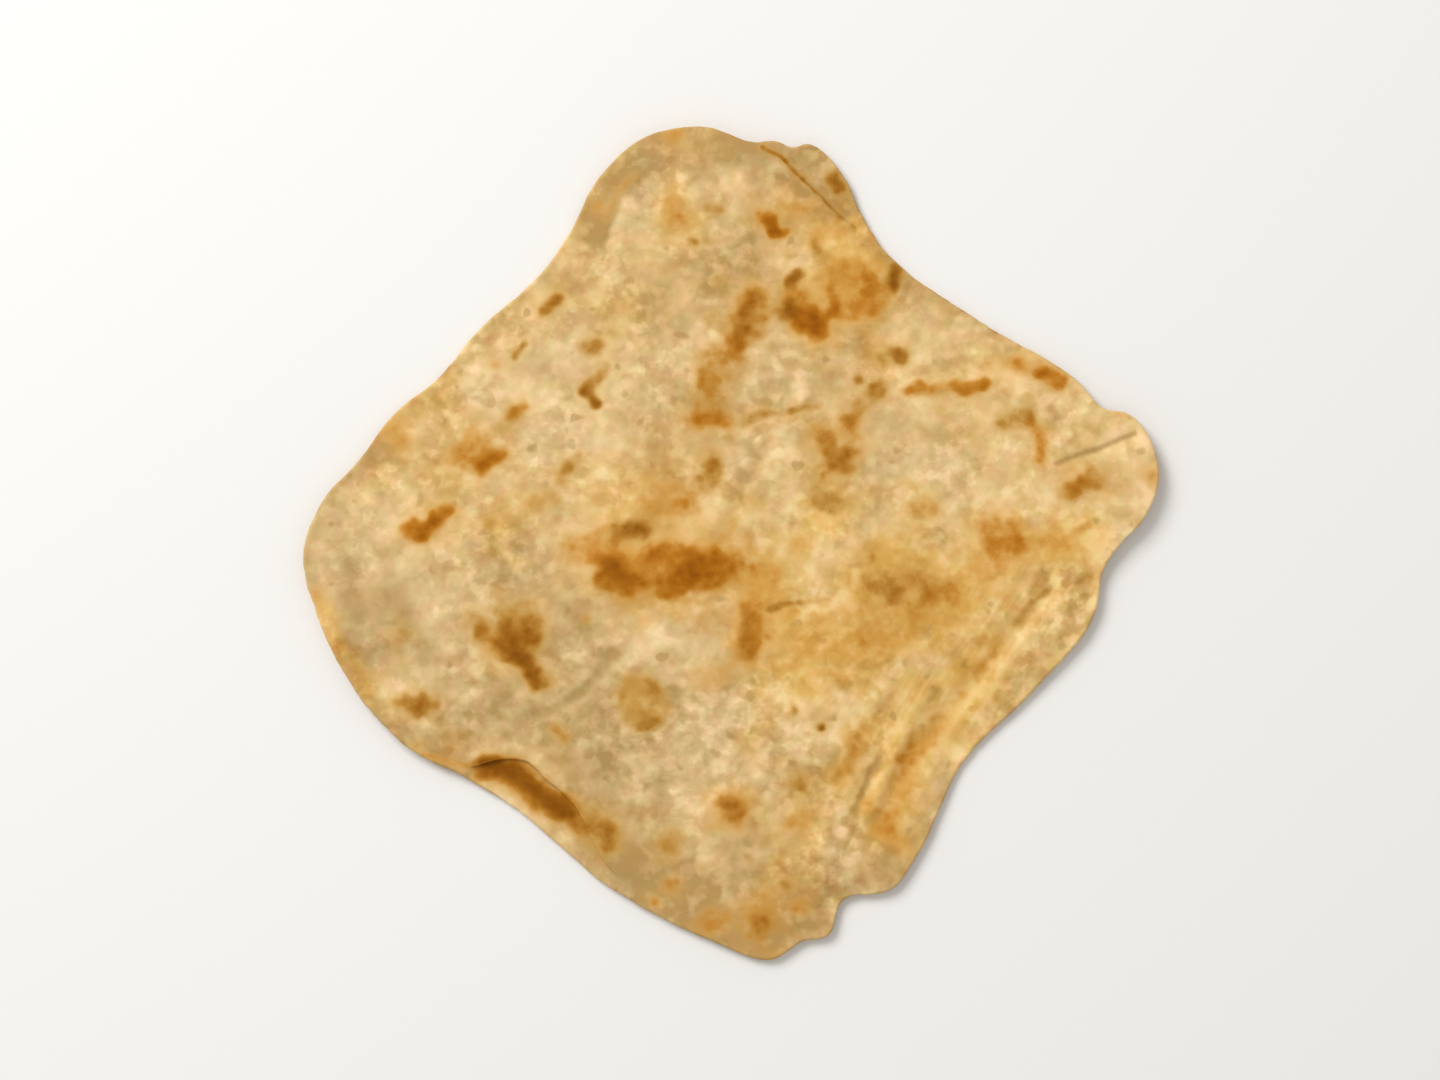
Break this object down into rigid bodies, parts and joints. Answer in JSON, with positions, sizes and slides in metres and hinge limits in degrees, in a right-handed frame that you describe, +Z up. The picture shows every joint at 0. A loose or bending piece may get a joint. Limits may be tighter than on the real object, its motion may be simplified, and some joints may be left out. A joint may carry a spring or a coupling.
{
  "type": "square folded flatbread",
  "caption": "Thin square pan-browned folded flatbread with rounded corners, a wavy edge, layered ridges along one side and raised brown blisters.",
  "frame": {"origin": "under the middle of the outline's box, on the table plane that the flat middle of the underside rests on", "axes": "+Z up through the bread's thickness, browned face up; -X to the left tip, +Y to the top tip, so the four sides run diagonally"},
  "size_m": [0.2776, 0.2708, 0.0073],
  "materials": {
    "browned_dough": "soft, slightly oily wholewheat dough, pale gold with brown blisters"
  },
  "bodies": {
    "root": {"flatbread": "browned_dough"}
  },
  "joints": []
}
